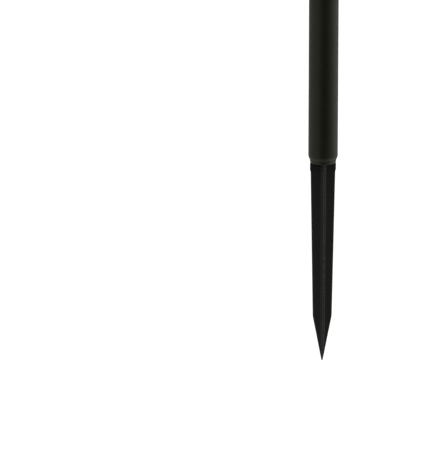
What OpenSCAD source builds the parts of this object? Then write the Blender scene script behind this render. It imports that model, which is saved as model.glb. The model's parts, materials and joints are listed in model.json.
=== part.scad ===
// Garden torch on a sectional steel pole.
// Origin: on the pole's axis, at the mouth of the lowest tube, which is the ground line. +Z up.
// The snuffer swings towards +X. Millimetres.

/* [Pole] */
// Outside diameter of the pole tubes
tube_od = 25.4; // [25:0.1:26]
// Wall thickness of the pole tubes
tube_wall = 1.2; // [1.1:0.05:1.3]
// Length of each of the three pole tubes
tube_l = 400; // [250:10:600]
// Outside diameter of a tube at its rolled-in mouth
mouth_od = 21.9; // [21.6:0.1:22.2]
// Height of the mouth's lip, which enters the tube below
lip_h = 3; // [2:0.1:4]
// Height over which the mouth is rolled in, lip included
crimp_h = 7; // [6:0.1:10]

/* [Ground spike] */
// Length of the spike that goes in the ground
spike_l = 175.5; // [120:0.5:240]
// Length of the sharpened point
point_l = 39.7; // [25:0.1:60]
// Width of the blade just under its shoulder
blade_top_w = 21.4; // [18:0.1:22]
// Width of the blade where the point starts
blade_knee_w = 16.6; // [10:0.1:18]
// Thickness of a fin
fin_t = 2.3; // [1.8:0.1:3.5]

/* [Couplers] */
// Length of the stub that plugs into the tube below
stub_l = 23.5; // [18:0.5:30]
// Width of the stub at its end
stub_w = 22.9; // [22.5:0.05:22.9]
// Width of the stub's waist
waist_w = 21.9; // [21:0.1:22.3]
// Width of the shoulder that a tube's mouth stands on
shoulder_w = 22.6; // [22.4:0.1:22.8]
// Length of the tang inside the tube above
tang_l = 38; // [20:1:60]

/* [Head] */
// Height of the cup that holds the canister
cup_h = 84; // [70:1:110]
// Radius of the cup at its floor
cup_floor_r = 27; // [25:0.5:32]
// Radius of the cup at its rim
cup_rim_r = 50; // [46:0.5:60]
// Height of the flare between the pole and the cup
flare_h = 26; // [22:1:40]
// Rise of the canister's domed top
dome_h = 11; // [8:0.5:16]
// Angle that the snuffer stands open, from shut
open_angle = 115; // [100:1:125]

/* [Hidden] */
$fn = 96;

POLE_COLOUR = "#34322a";
PLASTIC_COLOUR = "#1b1b1a";
STEEL_COLOUR = "#b4b4b0";
CAN_COLOUR = "#8c8f8e";
BRASS_COLOUR = "#b08d4a";
RUBBER_COLOUR = "#202020";
WICK_COLOUR = "#e8e2d2";

// Pole
tube_r = tube_od / 2;
bore_r = tube_r - tube_wall;
mouth_r = mouth_od / 2;
mouth_bore_r = mouth_r - tube_wall;
lip_top_r = bore_r - 0.03;
crimp_steps = 8;
seat_gap = 0.05;         // between faces of two pieces that stand on each other
seat_depth = lip_h - seat_gap;
section_pitch = tube_l - seat_depth;
pole_top = 2 * section_pitch + tube_l;

// Plastic inserts
tang_r = mouth_bore_r - 0.05;
corner_r = 3.3;          // rounded end of a tang or a stub
shoulder_l = 6;
shoulder_ease = 2.2;     // height over which the shoulder runs into the blade
waist_top = 0.8;         // half the height over which the shoulder runs into the waist
waist_foot = [3.8, 6.2]; // where the waist runs into the stub's end, above its rounding
core_r = 1.9;            // round core where the fins meet
core_top = 8;            // below the tang's end

// Head
cup_z = pole_top + flare_h;
cup_wall = 1;
cup_bead_r = 2;
socket_top_r = 20;
socket_foot_r = tube_r + 1.4;           // collar that stands on the pole's top
socket_foot_h = 3;
socket_neck_r = tube_r + 0.6;
spigot_l = 30;
spigot_r = bore_r - 0.05;
screw_drop = 15;         // screw axis below the pole's top
screw_count = 3;
screw_r = 1.6;
screw_head_r = 3.1;
bolt_r = 3;
bolt_hole_r = 3.3;
bolt_l = 18;
bolt_head_r = 5.6;
bolt_head_h = 3.6;
washer_r = 9;
washer_t = 1.2;
drain_r = 1.8;
drain_at_r = 23.4;
can_floor = 7;           // canister floor above the cup's floor
can_gap = 2.5;           // between the cup and the canister
can_wall = 0.8;
flange_r = 51;
flange_z = cup_z + cup_h + cup_bead_r + seat_gap;
dome_z = flange_z + 2 * can_wall;
dome_r = 46;
neck_r = 18;
neck_l = 12;
thread_r = 0.5;
neck_top = dome_z + dome_h + neck_l;
gasket_t = 1.5;
gasket_hole_r = 15.7;
plate_t = 2;
plate_z = neck_top + gasket_t;          // underside of the burner cap's plate
burner_z = plate_z + plate_t;           // top of that plate
cap_r = 21.5;
cap_bore_r = 18.9;
skirt_l = 9;                            // of the burner cap, below the neck's top
wick_tube_r = 7.1;
wick_tube_bore_r = 5.6;
wick_tube_rise = 12;
wick_tube_drop = 22;
collar_r = 10.8;                        // of the wick tube, on the plate
collar_t = 1.2;
wick_r = 5.5;
wick_rise = 20;
wick_floor_gap = 6;                     // between the wick's end and the canister's floor
nut_h = 3.5;
nut_across_corners = 20;

// Snuffer, drawn shut over the wick and then turned open about the hinge
hinge_x = 24;
hinge_up = 8;
hinge_z = burner_z + hinge_up;
pin_r = 1.5;
pin_hole_r = 1.55;
ear_t = 1.2;
ear_y = 4.6;
ear_r = 3.4;
base_x0 = 12;
base_x1 = 20.5;
rivet_x = 13.8;
rivet_y = 2.6;
rivet_r = 1.2;
rivet_head_r = 2;
arm_w = 8.8;
arm_t = 1.6;
barrel_r = 3.2;
bell_r = 11.6;
bell_wall = 1;
bell_h = 21;
arm_z = hinge_z + bell_h;               // underside of the arm when shut
knob_h = 13;

// Points of an arc about [x, z] from angle a to angle b
function arc(x, z, r, a, b, n = 6) =
    [for (i = [0:n]) let (t = a + (b - a) * i / n) [x + r * cos(t), z + r * sin(t)]];

// Points of an S-curve from p to q, upright at both ends
function ease(p, q, n = 6) =
    [for (i = [0:n]) let (s = i / n, w = (1 - cos(180 * s)) / 2)
        [p[0] + (q[0] - p[0]) * w, p[1] + (q[1] - p[1]) * s]];

function reverse(list) = [for (i = [len(list) - 1:-1:0]) list[i]];

// Radius of the cup's outside at height z above its floor
function cup_r_at(z) = cup_floor_r + (cup_rim_r - cup_floor_r) * (1 - pow(1 - z / cup_h, 1.6));

// Height of the canister's dome above its foot, at radius r
function dome_at(r) = dome_h * (1 - pow((r - neck_r) / (dome_r - neck_r), 2));

// A steel tube with its top open, and its mouth at z = 0 rolled in: a slim lip, then a curve out to the tube
module pole_tube() {
    rolled = concat([[mouth_r, 0]], [for (i = [0:crimp_steps]) let (s = i / crimp_steps)
        [lip_top_r + (tube_r - lip_top_r) * sin(90 * s), lip_h + (crimp_h - lip_h) * s]]);
    inner = [for (p = reverse(rolled)) [p[0] - tube_wall, p[1]]];
    rotate_extrude()
        polygon(concat(rolled, [[tube_r, tube_l], [bore_r, tube_l]], inner));
}

// Four fins about a round core, trimmed to a turned outline: a tang above z = 0 and the given points below it
module finned_insert(below, core_low) {
    tang = concat(
        [[0, tang_l]],
        reverse(arc(tang_r - corner_r, tang_l - corner_r, corner_r, 0, 90)),
        [[tang_r, -seat_gap]]);
    low = below[len(below) - 1][1];
    intersection() {
        rotate_extrude()
            polygon(concat(tang, below));
        for (a = [0, 90])
            rotate(a)
                translate([-tube_r, -fin_t / 2, low])
                    cube([tube_od, fin_t, tang_l - low]);
    }
    translate([0, 0, core_low])
        cylinder(r = core_r, h = tang_l - core_top - core_low);
}

module ground_spike() {
    shoulder_r = shoulder_w / 2;
    blade = concat(
        [[shoulder_r, -seat_gap]],
        ease([shoulder_r, -shoulder_l], [blade_top_w / 2, -shoulder_l - shoulder_ease]),
        [[blade_knee_w / 2, point_l - spike_l], [0, -spike_l]]);
    color(PLASTIC_COLOUR) {
        finned_insert(blade, point_l - spike_l);
        translate([0, 0, -spike_l])
            cylinder(r1 = 0, r2 = core_r, h = point_l);
    }
}

module coupler(z) {
    shoulder_r = shoulder_w / 2;
    waist_r = waist_w / 2;
    stub_r = stub_w / 2;
    end_z = corner_r - stub_l;
    stub = concat(
        [[shoulder_r, -seat_gap]],
        ease([shoulder_r, waist_top - shoulder_l], [waist_r, -shoulder_l - waist_top]),
        ease([waist_r, end_z + waist_foot[1]], [stub_r, end_z + waist_foot[0]]),
        reverse(arc(stub_r - corner_r, end_z, corner_r, -90, 0)),
        [[0, -stub_l]]);
    color(PLASTIC_COLOUR)
        translate([0, 0, z])
            finned_insert(stub, -stub_l);
}

module tube(z) {
    color(POLE_COLOUR)
        translate([0, 0, z])
            pole_tube();
}

// Places its children at each of the screws that hold the head, pointing outwards along +X
module at_head_screws() {
    for (i = [0:screw_count - 1])
        rotate(360 / screw_count * i)
            translate([0, 0, pole_top - screw_drop])
                rotate([0, 90, 0])
                    children();
}

module upper_tube() {
    color(POLE_COLOUR)
        difference() {
            translate([0, 0, 2 * section_pitch])
                pole_tube();
            at_head_screws()
                cylinder(r = screw_r + 0.1, h = tube_od);
        }
}

module head_socket() {
    neck_z = pole_top + socket_foot_h + 1;
    flare = [for (i = [0:10]) let (s = i / 10)
        [socket_neck_r + (socket_top_r - socket_neck_r) * pow(s, 1.8), neck_z + (cup_z - 2 - neck_z) * s]];
    color(POLE_COLOUR)
        difference() {
            rotate_extrude()
                polygon(concat(
                    [[0, pole_top - spigot_l], [spigot_r, pole_top - spigot_l]],
                    [[spigot_r, pole_top + seat_gap]],
                    [[socket_foot_r, pole_top + seat_gap], [socket_foot_r, pole_top + socket_foot_h]],
                    flare,
                    [[socket_top_r, cup_z], [0, cup_z]]));
            translate([0, 0, cup_z - bolt_l - 4])
                cylinder(r = bolt_r + 0.05, h = bolt_l + 5);
            at_head_screws()
                translate([0, 0, 5])
                    cylinder(r = screw_r + 0.05, h = tube_od);
        }
}

module head_screws() {
    color(STEEL_COLOUR)
        at_head_screws() {
            translate([0, 0, 6])
                cylinder(r = screw_r, h = tube_r + 1 - 6);
            translate([0, 0, tube_r + 0.05])
                cylinder(r1 = screw_head_r, r2 = 0.7 * screw_head_r, h = 1.8);
        }
}

module holder_cup() {
    steps = 14;
    outer = [for (i = [0:steps]) let (z = cup_h * i / steps)
        [cup_r_at(z), z]];
    inner = [for (i = [0:steps]) let (z = cup_wall + (cup_h - cup_wall) * i / steps)
        [cup_r_at(z) - cup_wall, z]];
    color(POLE_COLOUR)
        translate([0, 0, cup_z])
            difference() {
                rotate_extrude() {
                    polygon(concat([[0, 0]], outer, reverse(inner), [[0, cup_wall]]));
                    translate([cup_rim_r, cup_h])
                        circle(r = cup_bead_r, $fn = 32);
                }
                translate([0, 0, -1])
                    cylinder(r = bolt_hole_r, h = cup_wall + 2);
                for (i = [0:3])
                    rotate(45 + 90 * i)
                        translate([drain_at_r, 0, -1])
                            cylinder(r = drain_r, h = cup_wall + 2);
            }
}

module holder_washer() {
    color(STEEL_COLOUR)
        translate([0, 0, cup_z + cup_wall])
            difference() {
                cylinder(r = washer_r, h = washer_t);
                translate([0, 0, -1])
                    cylinder(r = bolt_r + 0.2, h = 4);
            }
}

module holder_bolt() {
    color(STEEL_COLOUR)
        translate([0, 0, cup_z + cup_wall + washer_t]) {
            cylinder(r = bolt_head_r, h = bolt_head_h, $fn = 6);
            translate([0, 0, -bolt_l])
                cylinder(r = bolt_r, h = bolt_l + 1);
        }
}

module canister_body() {
    steps = 12;
    low = can_floor + 4;
    side = [for (i = [0:steps]) let (z = low + (cup_h - low) * i / steps)
        [cup_r_at(z) - cup_wall - can_gap, z]];
    floor_r = side[0][0] - 4;
    flange = flange_z - cup_z;
    outer = concat(
        [[0, can_floor]],
        arc(floor_r, low, 4, -90, 0),
        side,
        [[side[steps][0], flange], [flange_r, flange]]);
    inner = concat(
        [[side[steps][0] - can_wall, flange + can_wall]],
        [for (p = reverse(side)) [p[0] - can_wall, p[1]]],
        reverse(arc(floor_r, low, 4 - can_wall, -90, 0)),
        [[0, can_floor + can_wall]]);
    color(CAN_COLOUR)
        translate([0, 0, cup_z])
            rotate_extrude()
                polygon(concat(outer, [[flange_r, flange + can_wall]], inner));
}

module canister_top() {
    steps = 10;
    dome = [for (i = [0:steps]) let (r = dome_r + (neck_r - dome_r) * i / steps) [r, dome_at(r)]];
    hollow = [for (i = [0:steps - 1]) [dome[i][0] - can_wall / 2, dome[i][1] - can_wall]];
    seam_r = flange_r + seat_gap;
    seam_z = -can_wall - 0.9;   // foot of the seam that is rolled round the flange
    color(CAN_COLOUR)
        translate([0, 0, dome_z])
            rotate_extrude() {
                polygon(concat(
                    [[seam_r, -can_wall], [seam_r, seam_z], [flange_r + 1.1, seam_z]],
                    [[flange_r + 1.1, 0.1], [flange_r + 0.7, 0.5], [dome_r + 0.6, 0]],
                    dome,
                    [[neck_r, dome_h + neck_l], [neck_r - can_wall, dome_h + neck_l]],
                    [[neck_r - can_wall, dome_h - can_wall]],
                    reverse(hollow)));
                for (i = [0:2])
                    translate([neck_r, dome_h + neck_l - 2 - 3 * i])
                        circle(r = thread_r, $fn = 16);
            }
}

module neck_gasket() {
    color(RUBBER_COLOUR)
        translate([0, 0, neck_top])
            difference() {
                cylinder(r = neck_r, h = gasket_t);
                translate([0, 0, -1])
                    cylinder(r = gasket_hole_r, h = gasket_t + 2);
            }
}

module burner_cap() {
    color(POLE_COLOUR)
        difference() {
            rotate_extrude()
                polygon(concat(
                    [[0, burner_z]],
                    reverse(arc(cap_r - 1.5, burner_z - 1.5, 1.5, 0, 90)),
                    [[cap_r, neck_top - skirt_l], [cap_bore_r, neck_top - skirt_l]],
                    [[cap_bore_r, plate_z], [0, plate_z]]));
            translate([0, 0, plate_z - 1])
                cylinder(r = wick_tube_r + 0.1, h = plate_t + 2);
            for (side = [-1, 1])
                translate([rivet_x, side * rivet_y, plate_z - 1])
                    cylinder(r = rivet_r + 0.05, h = plate_t + 2);
        }
}

module wick_tube() {
    color(BRASS_COLOUR)
        difference() {
            union() {
                translate([0, 0, burner_z - wick_tube_drop])
                    cylinder(r = wick_tube_r, h = wick_tube_drop + wick_tube_rise);
                translate([0, 0, burner_z])
                    cylinder(r = collar_r, h = collar_t);
            }
            translate([0, 0, burner_z - wick_tube_drop - 1])
                cylinder(r = wick_tube_bore_r, h = wick_tube_drop + wick_tube_rise + 2);
        }
}

module wick_nut() {
    color(BRASS_COLOUR)
        translate([0, 0, plate_z - nut_h])
            difference() {
                cylinder(d = nut_across_corners, h = nut_h, $fn = 6);
                translate([0, 0, -1])
                    cylinder(r = wick_tube_r + 0.05, h = nut_h + 2);
            }
}

module wick() {
    foot = cup_z + can_floor + can_wall + wick_floor_gap;
    color(WICK_COLOUR)
        translate([0, 0, foot])
            cylinder(r = wick_r, h = burner_z + wick_rise - foot);
}

module snuffer_bracket() {
    color(STEEL_COLOUR)
        difference() {
            union() {
                translate([base_x0, -ear_y - ear_t, burner_z])
                    cube([base_x1 - base_x0, 2 * (ear_y + ear_t), ear_t]);
                for (y = [-ear_y - ear_t, ear_y])
                    translate([0, y + ear_t, burner_z])
                        rotate([90, 0, 0])
                            linear_extrude(ear_t) {
                                polygon([
                                    [base_x0 + 3, 0], [base_x1, 0],
                                    [hinge_x + 2.9, hinge_up - 1.8], [hinge_x - 2.6, hinge_up + 2.2]
                                ]);
                                translate([hinge_x, hinge_up])
                                    circle(r = ear_r);
                            }
            }
            translate([hinge_x, 10, hinge_z])
                rotate([90, 0, 0])
                    cylinder(r = pin_hole_r, h = 20);
            for (side = [-1, 1])
                translate([rivet_x, side * rivet_y, burner_z - 1])
                    cylinder(r = rivet_r + 0.05, h = ear_t + 2);
        }
}

module bracket_rivets() {
    color(STEEL_COLOUR)
        for (side = [-1, 1])
            translate([rivet_x, side * rivet_y, 0]) {
                translate([0, 0, plate_z - 0.6])
                    cylinder(r = rivet_r, h = plate_t + ear_t + 1);
                translate([0, 0, plate_z - 0.6])
                    cylinder(r = 1.4, h = 0.6);
                translate([0, 0, burner_z + ear_t])
                    cylinder(r1 = rivet_head_r, r2 = 0.65 * rivet_head_r, h = 0.9);
            }
}

module snuffer_pin() {
    reach = ear_y + ear_t + 0.05;
    color(STEEL_COLOUR)
        translate([hinge_x, 0, hinge_z])
            rotate([90, 0, 0]) {
                cylinder(r = pin_r, h = 2 * reach + 1, center = true);
                for (side = [0, 1])
                    mirror([0, 0, side])
                        translate([0, 0, reach])
                            cylinder(r1 = 2.4, r2 = 1.8, h = 1.1);
            }
}

// Turns what is drawn shut to where it stands open
module opened() {
    translate([hinge_x, 0, hinge_z])
        rotate([0, open_angle, 0])
            translate([-hinge_x, 0, -hinge_z])
                children();
}

module snuffer_arm() {
    color(STEEL_COLOUR)
        opened()
            difference() {
                union() {
                    translate([hinge_x, arm_w / 2, hinge_z])
                        rotate([90, 0, 0])
                            cylinder(r = barrel_r, h = arm_w);
                    translate([hinge_x - arm_t / 2, -arm_w / 2, hinge_z])
                        cube([arm_t, arm_w, bell_h + arm_t]);
                    translate([0, -arm_w / 2, arm_z])
                        cube([hinge_x, arm_w, arm_t]);
                    translate([0, 0, arm_z])
                        cylinder(r = arm_w / 2, h = arm_t);
                }
                translate([hinge_x, arm_w, hinge_z])
                    rotate([90, 0, 0])
                        cylinder(r = pin_hole_r, h = 2 * arm_w);
                translate([0, 0, arm_z - 1])
                    cylinder(r = pin_r + 0.1, h = arm_t + 2);
            }
}

module snuffer_bell() {
    inner_r = bell_r - bell_wall;
    shoulder = 5;
    color(POLE_COLOUR)
        opened()
            translate([0, 0, hinge_z])
                difference() {
                    rotate_extrude()
                        polygon(concat(
                            [[inner_r, 0], [bell_r + 0.7, 0], [bell_r + 0.7, 1], [bell_r, 1.7]],
                            arc(bell_r - shoulder, bell_h - shoulder, shoulder, 0, 90),
                            [[0, bell_h], [0, bell_h - bell_wall]],
                            reverse(arc(bell_r - shoulder, bell_h - shoulder, shoulder - bell_wall, 0, 90))));
                    translate([0, 0, bell_h - 2 * bell_wall])
                        cylinder(r = pin_r + 0.1, h = 3 * bell_wall);
                }
}

module snuffer_knob() {
    color(PLASTIC_COLOUR)
        opened()
            translate([0, 0, arm_z + arm_t])
                difference() {
                    rotate_extrude()
                        polygon(concat(
                            [[0, 0], [4.2, 0], [3.6, 3]],
                            arc(3.2, knob_h - 4, 3.2, -60, 0, 4),
                            arc(2.4, knob_h - 4, 4, 0, 90),
                            [[0, knob_h]]));
                    translate([0, 0, -1])
                        cylinder(r = pin_r + 0.05, h = 8);
                }
}

module snuffer_screw() {
    color(STEEL_COLOUR)
        opened()
            translate([0, 0, arm_z - bell_wall]) {
                translate([0, 0, -1.5])
                    cylinder(r = 3, h = 1.5);
                cylinder(r = pin_r, h = bell_wall + arm_t + 6);
            }
}

ground_spike();
tube(0);  // lower_tube
coupler(section_pitch);  // middle_coupler
tube(section_pitch);  // middle_tube
coupler(2 * section_pitch);  // upper_coupler
upper_tube();
head_socket();
head_screws();
holder_cup();
holder_washer();
holder_bolt();
canister_body();
canister_top();
neck_gasket();
burner_cap();
wick_tube();
wick_nut();
wick();
snuffer_bracket();
bracket_rivets();
snuffer_pin();
snuffer_arm();
snuffer_bell();
snuffer_knob();
snuffer_screw();
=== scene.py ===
"""Looks of a garden torch: turned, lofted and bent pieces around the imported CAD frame.

Everything is in metres in the CAD model's frame: the origin is on the pole's axis at the mouth of the
lowest tube, +Z up. Lengths written as a number times MM are millimetres.
"""
import json
import math
import random

import bmesh
import bpy
from mathutils import Matrix, Vector


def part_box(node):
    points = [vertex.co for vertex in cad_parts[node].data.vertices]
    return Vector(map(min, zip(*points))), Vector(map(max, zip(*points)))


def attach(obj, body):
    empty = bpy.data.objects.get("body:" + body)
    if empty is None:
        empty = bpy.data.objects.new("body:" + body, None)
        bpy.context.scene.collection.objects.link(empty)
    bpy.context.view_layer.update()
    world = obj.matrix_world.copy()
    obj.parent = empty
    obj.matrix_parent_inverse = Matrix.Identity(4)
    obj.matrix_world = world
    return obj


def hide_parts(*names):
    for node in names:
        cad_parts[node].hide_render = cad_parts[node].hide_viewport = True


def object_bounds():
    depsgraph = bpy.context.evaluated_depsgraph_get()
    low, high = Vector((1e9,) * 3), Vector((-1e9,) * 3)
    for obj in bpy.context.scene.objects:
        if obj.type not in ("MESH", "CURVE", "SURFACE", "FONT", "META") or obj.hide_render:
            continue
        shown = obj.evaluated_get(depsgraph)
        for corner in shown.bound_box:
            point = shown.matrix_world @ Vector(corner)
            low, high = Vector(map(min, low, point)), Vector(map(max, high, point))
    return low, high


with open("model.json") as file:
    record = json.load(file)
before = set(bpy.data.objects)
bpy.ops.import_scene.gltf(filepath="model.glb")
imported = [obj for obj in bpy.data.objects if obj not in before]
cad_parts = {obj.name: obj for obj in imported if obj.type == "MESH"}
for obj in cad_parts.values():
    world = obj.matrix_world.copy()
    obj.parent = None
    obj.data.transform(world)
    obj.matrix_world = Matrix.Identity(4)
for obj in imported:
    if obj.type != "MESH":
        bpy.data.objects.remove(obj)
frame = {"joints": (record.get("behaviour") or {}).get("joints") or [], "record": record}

CAD_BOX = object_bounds()
MM = 0.001

# ---------------------------------------------------------------------------------------------- sizes

# Heights come from the CAD nodes, and the small sizes that no node's box gives are named here.
FIT = 0.05 * MM                 # the gap between pieces that fit each other
POLE_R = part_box("lower_tube")[1].x
TUBE_WALL = 1.2 * MM
MOUTH_R = 10.95 * MM
LIP_H = 3 * MM
CRIMP_H = 7 * MM
BORE_R = POLE_R - TUBE_WALL

FIN_T = 2.3 * MM
TANG_R = MOUTH_R - TUBE_WALL - FIT
SHOULDER_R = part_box("ground_spike")[1].x
STUB_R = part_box("middle_coupler")[1].x
WAIST_R = 10.95 * MM
SHOULDER_L = 6 * MM
BLADE_TOP_R = 10.7 * MM
BLADE_KNEE_R = 8.3 * MM
POINT_L = 39.7 * MM
END_ROUNDING = 3.3 * MM

POLE_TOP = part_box("upper_tube")[1].z
CUP_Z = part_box("holder_cup")[0].z
CUP_FLOOR_R, CUP_RIM_R, CUP_H = 27 * MM, 50 * MM, 84 * MM
CUP_BEAD_R = 2 * MM
CAN_GAP = 3.5 * MM
CAN_WALL = 0.8 * MM
FLANGE_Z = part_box("canister_body")[1].z
CAN_FOOT_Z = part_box("canister_body")[0].z
NECK_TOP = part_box("canister_top")[1].z
NECK_R = 18 * MM
NECK_L = 12 * MM
DOME_H = 11 * MM
DOME_R = 46 * MM
THREAD_LEAD = 4 * MM
BURNER_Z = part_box("burner_cap")[1].z
CAP_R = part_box("burner_cap")[1].x

PIVOTS = {joint["name"]: joint for joint in frame["joints"]}
HINGE = Vector(PIVOTS["snuffer_close"]["pos_m"])
SHUT_TURN = math.radians(PIVOTS["snuffer_close"]["range_deg"][1])
SHUT_AXIS = Vector(PIVOTS["snuffer_close"]["axis"])
BELL_H = 21 * MM
ARM_T = 1.6 * MM
ARM_W = 8.8 * MM
ARM_Z = HINGE.z + BELL_H
SCREW_HOLE_R = 1.55 * MM        # in the snuffer's knob, and round its hinge pin

# ------------------------------------------------------------------------------------------ mesh tools

SHARP = math.radians(32)        # edges that turn more than this are shaded sharp
GUARD = 0.9 * MM                # how far wear spreads from a rounded corner
WELD = 0.002 * MM               # points closer than this are one point


def weld(bm):
    """Merges points that lie on each other, and drops the faces that have no area."""
    bmesh.ops.remove_doubles(bm, verts=bm.verts, dist=WELD)
    bmesh.ops.dissolve_degenerate(bm, edges=bm.edges, dist=WELD)


def mesh_piece(name, bm, worn=None):
    """Makes an object from bm, with its wear stored on its points, smooth but for its sharp edges."""
    if worn is not None:
        wear = bm.verts.layers.float.get("wear") or bm.verts.layers.float.new("wear")
        for vert, value in zip(bm.verts, worn):
            vert[wear] = value
    weld(bm)
    bmesh.ops.recalc_face_normals(bm, faces=bm.faces)
    for edge in bm.edges:
        edge.smooth = len(edge.link_faces) == 2 and edge.calc_face_angle(math.pi) < SHARP
    mesh = bpy.data.meshes.new(name)
    bm.to_mesh(mesh)
    bm.free()
    for face in mesh.polygons:
        face.use_smooth = True
    piece = bpy.data.objects.new(name, mesh)
    bpy.context.scene.collection.objects.link(piece)
    return piece


def rounded(corners, closed=True, steps=5):
    """Rounds off an outline of (x, y, corner radius), and gives its points as (x, y, wear)."""
    points = []
    count = len(corners)
    for i, (x, y, radius) in enumerate(corners):
        here = Vector((x, y))
        if radius == 0 or (not closed and i in (0, count - 1)):
            points.append((x, y, 0.0))
            continue
        before, after = Vector(corners[i - 1][:2]) - here, Vector(corners[(i + 1) % count][:2]) - here
        half = before.angle(after) / 2
        reach = min(radius / math.tan(half), 0.45 * before.length, 0.45 * after.length)
        radius = reach * math.tan(half)
        centre = here + (before.normalized() + after.normalized()).normalized() * radius / math.sin(half)
        start, end = here + before.normalized() * reach - centre, here + after.normalized() * reach - centre
        turn = math.atan2(start.x * end.y - start.y * end.x, start.dot(end))
        if before.length > 2.5 * (reach + GUARD):
            guard = here + before.normalized() * (reach + GUARD)
            points.append((guard.x, guard.y, 0.0))
        for k in range(steps + 1):
            spoke = Matrix.Rotation(turn * k / steps, 2) @ start
            points.append((centre.x + spoke.x, centre.y + spoke.y, 1.0))
        if after.length > 2.5 * (reach + GUARD):
            guard = here + after.normalized() * (reach + GUARD)
            points.append((guard.x, guard.y, 0.0))
    return points


def turned(name, points, closed=True, sides=96, shape=None):
    """Turns (r, z, wear) points about the Z axis. shape(r, z, angle) may change the radius.

    An outline that isn't closed starts and ends on the axis.
    """
    bm = bmesh.new()
    rings, worn = [], []
    for r, z, wear in points:
        if r < 1e-9:
            rings.append([bm.verts.new((0, 0, z))])
            worn.append(wear)
            continue
        ring = []
        for k in range(sides):
            angle = math.tau * k / sides
            radius = shape(r, z, angle) if shape else r
            ring.append(bm.verts.new((radius * math.cos(angle), radius * math.sin(angle), z)))
        rings.append(ring)
        worn.extend([wear] * sides)
    pairs = list(zip(rings, rings[1:])) + ([(rings[-1], rings[0])] if closed else [])
    for low, high in pairs:
        for k in range(sides):
            n = (k + 1) % sides
            if len(low) == 1 and len(high) == 1:
                break
            if len(low) == 1:
                bm.faces.new((low[0], high[k], high[n]))
            elif len(high) == 1:
                bm.faces.new((low[k], low[n], high[0]))
            else:
                bm.faces.new((low[k], low[n], high[n], high[k]))
    return mesh_piece(name, bm, worn)


def move(piece, matrix):
    """Puts the piece's points through a matrix, so that its object stays at the origin."""
    piece.data.transform(matrix)
    piece.data.update()
    return piece


def joined(name, pieces):
    """Joins pieces into one object."""
    bm = bmesh.new()
    worn = []
    for piece in pieces:
        wear = piece.data.attributes.get("wear")
        worn.extend(d.value for d in wear.data) if wear else worn.extend([0.0] * len(piece.data.vertices))
        bm.from_mesh(piece.data)
        bpy.data.objects.remove(piece)
    return mesh_piece(name, bm, worn)


def bevelled(piece, width, segments=3):
    """Rounds the piece's sharp edges with a modifier."""
    modifier = piece.modifiers.new("rounded_edges", "BEVEL")
    modifier.width = width
    modifier.segments = segments
    modifier.limit_method = "ANGLE"
    modifier.angle_limit = math.radians(40)
    modifier.harden_normals = True
    return piece


def combined(piece, others, operation):
    """Joins the others to the piece, or takes them out of it, and removes them."""
    for other in others:
        modifier = piece.modifiers.new("combine", "BOOLEAN")
        modifier.operation = operation
        modifier.object = other
        modifier.solver = "EXACT"
    bpy.context.view_layer.update()
    depsgraph = bpy.context.evaluated_depsgraph_get()
    result = bpy.data.meshes.new_from_object(piece.evaluated_get(depsgraph))
    bm = bmesh.new()
    bm.from_mesh(result)
    weld(bm)
    many_sided = [face for face in bm.faces if len(face.verts) > 4]
    bmesh.ops.triangulate(bm, faces=many_sided, ngon_method="BEAUTY")
    bm.to_mesh(result)
    bm.free()
    piece.modifiers.clear()
    old = piece.data
    piece.data = result
    bpy.data.meshes.remove(old)
    for other in others:
        bpy.data.objects.remove(other)
    return piece


def lofted(bm, rings):
    """Spans rings of points with faces, and closes both ends."""
    for one, two in zip(rings, rings[1:]):
        for k in range(len(one)):
            n = (k + 1) % len(one)
            bm.faces.new((one[k], one[n], two[n], two[k]))
    bm.faces.new(rings[0])
    bm.faces.new(rings[-1])


def prism(name, outline, low, high):
    """A flat outline of (x, y) points, made solid from low to high along Z."""
    bm = bmesh.new()
    bottom = [bm.verts.new((x, y, low)) for x, y in outline]
    top = [bm.verts.new((x, y, high)) for x, y in outline]
    bm.faces.new(bottom)
    bm.faces.new(top)
    for k in range(len(outline)):
        n = (k + 1) % len(outline)
        bm.faces.new((bottom[k], bottom[n], top[n], top[k]))
    return mesh_piece(name, bm)


def hexagonal(corner_r):
    """A shape rule for turned() that cuts six flats, and leaves a chamfer where the outline is smaller."""
    apothem = corner_r * math.cos(math.radians(30))

    def shape(r, z, angle):
        flat = apothem / math.cos((angle % math.radians(60)) - math.radians(30))
        return min(r, flat)
    return shape


# Turns what is built standing along Z to lie along Y, keeping X.
ALONG_Y = Matrix.Rotation(math.radians(-90), 4, "X")
# Turns what is drawn in the XY plane to stand in the XZ plane.
UPRIGHT = Matrix.Rotation(math.radians(90), 4, "X")

# ------------------------------------------------------------------------------------------ materials


def rgb(r, g, b):
    return (r, g, b, 1.0)


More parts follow.
